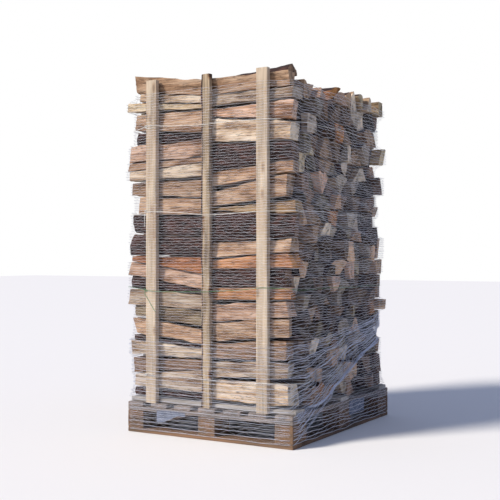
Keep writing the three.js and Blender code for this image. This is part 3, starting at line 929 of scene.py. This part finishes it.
# ------------------------------------------------------------
# Net rope. The lower edge of the last turn, gathered by its own tension into a rope as thick as a
# finger, that climbs the right side from the pallet's front corner. Its yarns part at both ends.
# ------------------------------------------------------------
t = np.linspace(0, 1, 90)
strand_y = ROPE_Y[0] + t * (ROPE_Y[-1] - ROPE_Y[0])
strand_along = np.interp(strand_y, wrap_y, np.linspace(right_start, right_end, len(wrap_y)))
ends_open = np.abs(2 * t - 1) ** 3
strand_z = np.interp(strand_y, ROPE_Y, ROPE_Z)
for _ in range(60):
    strand_z[1:-1] = (strand_z[:-2] + 2 * strand_z[1:-1] + strand_z[2:]) / 4
strands = []
for i in range(7):
    phase = i * 2 * np.pi / 7 + 9.0 * t + 0.6 * np.sin(7 * t + i)
    spread = (2.0 + 2.2 * (i % 3)) * MM + 20 * MM * ends_open
    z = strand_z + spread * np.sin(phase)
    out = 7 * MM - 3 * MM * ends_open + 3.2 * MM * np.cos(phase)
    strands.append(yarn_run(on_wrap(strand_along, z, out), 1.05 * MM, 6, 0.85 + 0.15 * (i % 2)))
piece = mesh_object("net_gathered_edge", strands, [gathered], 180.0)
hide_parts("net_rope")
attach(piece, "root")

# ------------------------------------------------------------
# Strings. Baler twine tied tight round logs and slats, before the net went on: three white and a
# green one. Each is knotted at the first slat, where its short ends are caught under the net.
# ------------------------------------------------------------
white_twine = twisted_plastic("white_polypropylene_twine", "EEEEE8", 9.0, 0.5, 0.2)
green_twine = twisted_plastic("green_polypropylene_twine", "4E8A5C", 9.0, 0.5, 0.2)
slat_middles = [np.mean([corner[0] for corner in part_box(f"slat_front_{i}")]) for i in (1, 2, 3)]
knot_along = slat_middles[0] - slat_left
# Height of each string at the three slats, and round the rest of the load.
STRINGS = [
    ("string_upper_white", white_twine, "white_twine", (1629, 1613, 1620, 1612)),
    ("string_middle_white", white_twine, "white_twine", (1180, 1152, 1160, 1165)),
    ("string_green", green_twine, "green_twine", (757, 755, 785, 772)),
    ("string_low_white", white_twine, "white_twine", (312, 308, 311, 312)),
]
# The loose ends of each knot: millimetres along the string from the slat's middle, and up.
TAILS = {
    "string_upper_white": [[(-34, -6), (-12, -12), (16, -9), (33, -14)]],
    "string_middle_white": [[(-34, -2), (-38, -22), (-41, -50), (-38, -84)]],
    "string_green": [
        [(-34, 2), (-39, -14), (-14, -50), (12, -86), (34, -112)],
        [(-33, 4), (-39, 16), (-36, 8), (-20, -3)],
    ],
    "string_low_white": [[(-30, 4), (-12, 9), (8, 4), (20, -10)]],
}
twine_along = np.linspace(0, LOOP, 210, endpoint=False)
for node_name, twine, slot, heights in STRINGS:
    at_slats = [middle - slat_left for middle in slat_middles]
    places = [*at_slats, wrap_along[front_corner] + 0.1, LOOP - 0.1, LOOP + knot_along]
    values = np.array([*heights[:3], heights[3], heights[3], heights[0]]) * MM
    z = np.interp((twine_along - knot_along) % LOOP + knot_along, places, values)
    z = z + 2.5 * MM * np.sin(twine_along * 2 * np.pi * 9 / LOOP + heights[0])
    loop = on_wrap(twine_along, z, -0.6 * MM)[None]
    parts = [yarn_loops(loop, 1.3 * MM, 6, [0.95])]
    for tail in TAILS[node_name]:
        bends = np.array(tail) * MM
        run = np.linspace(0, len(bends) - 1, 26)
        x, up_by = (np.interp(run, np.arange(len(bends)), bends[:, k]) for k in (0, 1))
        lift = 0.4 * MM + 1.2 * MM * np.sin(run * 2)
        tail_path = on_wrap(knot_along + x, heights[0] * MM + up_by, lift)
        parts.append(yarn_run(tail_path, 1.2 * MM, 6, 1.0))
    # The knot is nearly two oval turns, 12 by 10 mm, that rise out of the string.
    turn = np.linspace(0, 11, 30)
    knot_x = knot_along - 30 * MM + 6 * MM * np.cos(turn)
    knot = on_wrap(knot_x, heights[0] * MM + 5 * MM * np.sin(turn), np.linspace(-1, 2.5, 30) * MM)
    parts.append(yarn_run(knot, 1.3 * MM, 6, 0.9))
    piece = mesh_object(node_name.replace("string", "twine"), parts, [twine], 180.0)
    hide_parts(node_name)
    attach(piece, "root")

# ------------------------------------------------------------
# Tags. Two blank paper delivery tags caught under the net: one over the front fork opening, one
# at the deck's right edge. Thin, creased and a little curled.
# ------------------------------------------------------------
tag_paper, tag_tree, tag_shader = new_material("matt_paper_painted_shade")
tag_grain = add_node(tag_tree, "ShaderNodeTexCoord").outputs["Object"]
# Soft stains 30 mm across, and paper fibre drawn at 4 mm. The colours the stains run through are painted
# shade: blank paper darkened to a dull blue-grey for the shade the tags hang in.
tag_stains_and_painted_shade, tag_fibres = (
    add_node(tag_tree, "ShaderNodeTexNoise", {"Vector": tag_grain}, {"Scale": scale, "Detail": detail})
    for scale, detail in ((33.0, 4.0), (250.0, 2.0))
)
stops = [(0.3, linear("525A6C")), (0.6, linear("6E768A")), (0.8, linear("868C9C"))]
tag_painted_shade_colour = add_node(tag_tree, "ShaderNodeValToRGB", {"Fac": tag_stains_and_painted_shade.outputs["Fac"]}, stops=stops)
finish(tag_tree, tag_shader, tag_painted_shade_colour.outputs["Color"], 0.7, tag_fibres.outputs["Fac"], 0.3, 0.3)


def paper_tag(name, node_name, facing, taper):
    """A thin sheet over its node's box: its height curls and it has one slanting crease.

    Each ring goes up the outer face and down the inner one; the rings run along the tag's width.
    The taper is the part of the height that is folded away at its far end.
    """
    low, high = (np.array(corner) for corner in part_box(node_name))
    across, out = (0, 1) if facing == "front" else (1, 0)
    u, v = np.linspace(0, 1, 25)[:, None], np.linspace(0, 1, 13)[None]
    hang = 1 - taper * np.clip(2 * u - 0.5, 0, 1)
    curl = 2.0 * (v - 0.5) ** 2 + 0.9 * np.sin(5 * u + 2 * v) + 1.6 * np.abs(u + 0.35 * v - 0.62)
    centre = (low[out] + high[out]) / 2
    sign = np.sign(centre)
    outer = centre + sign * curl * MM
    rings = np.zeros((25, 26, 3))
    rings[..., across] = low[across] + u * (high[across] - low[across])
    there_and_back = np.concatenate([v, v[:, ::-1]], 1)
    droop = hang * (1 - there_and_back) * (high[2] - low[2])
    rings[..., 2] = high[2] - droop + 3 * MM * np.sin(3 * u)
    rings[..., out] = np.concatenate([outer, outer[:, ::-1] - sign * 0.4 * MM], 1)
    vertices, quads, triangles = closed_tube(rings[::-1])
    part = (vertices, quads, triangles, np.zeros(len(quads)), np.zeros(len(triangles)), {"grain": vertices})
    piece = mesh_object(name, [part], [tag_paper])
    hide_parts(node_name)
    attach(piece, "root")


paper_tag("front_tag", "tag_front", "front", 0.65)
paper_tag("side_tag", "tag_side", "right", 0.0)

# ------------------------------------------------------------
# Floor and light. A pale floor, a large soft light from the front left, and a dim cool sky.
# ------------------------------------------------------------
floor_mesh = bpy.data.meshes.new("floor")
floor_mesh.from_pydata([(-30, -30, 0), (30, -30, 0), (30, 30, 0), (-30, 30, 0)], [], [(0, 1, 2, 3)])
floor = bpy.data.objects.new("floor", floor_mesh)
scene.collection.objects.link(floor)
floor_paint, _, floor_shader = new_material("pale_floor")
floor_shader.inputs["Base Color"].default_value = linear("ECECEC")
floor_shader.inputs["Roughness"].default_value = 0.9
floor_mesh.materials.append(floor_paint)
sun_data = bpy.data.lights.new("soft_key", "SUN")
sun_data.energy, sun_data.angle, sun_data.color = 4.3, np.radians(14.0), linear("FFF6EA")[:3]
sun = bpy.data.objects.new("soft_key", sun_data)
sun.rotation_euler = (np.radians(52.0), 0.0, np.radians(-32.0))
scene.collection.objects.link(sun)
world = bpy.data.worlds.new("sky")
world.use_nodes = True
scene.world = world
background = world.node_tree.nodes["Background"]
seen = add_node(world.node_tree, "ShaderNodeBackground", None, {"Color": linear("FFFFFF"), "Strength": 1.0})
background.inputs["Color"].default_value = linear("BCC9EC")
background.inputs["Strength"].default_value = 0.53
ray = add_node(world.node_tree, "ShaderNodeLightPath").outputs["Is Camera Ray"]
links = {0: ray, 1: background.outputs[0], 2: seen.outputs[0]}
both = add_node(world.node_tree, "ShaderNodeMixShader", links)
world.node_tree.links.new(both.outputs[0], world.node_tree.nodes["World Output"].inputs["Surface"])
scene.view_settings.view_transform = "Standard"
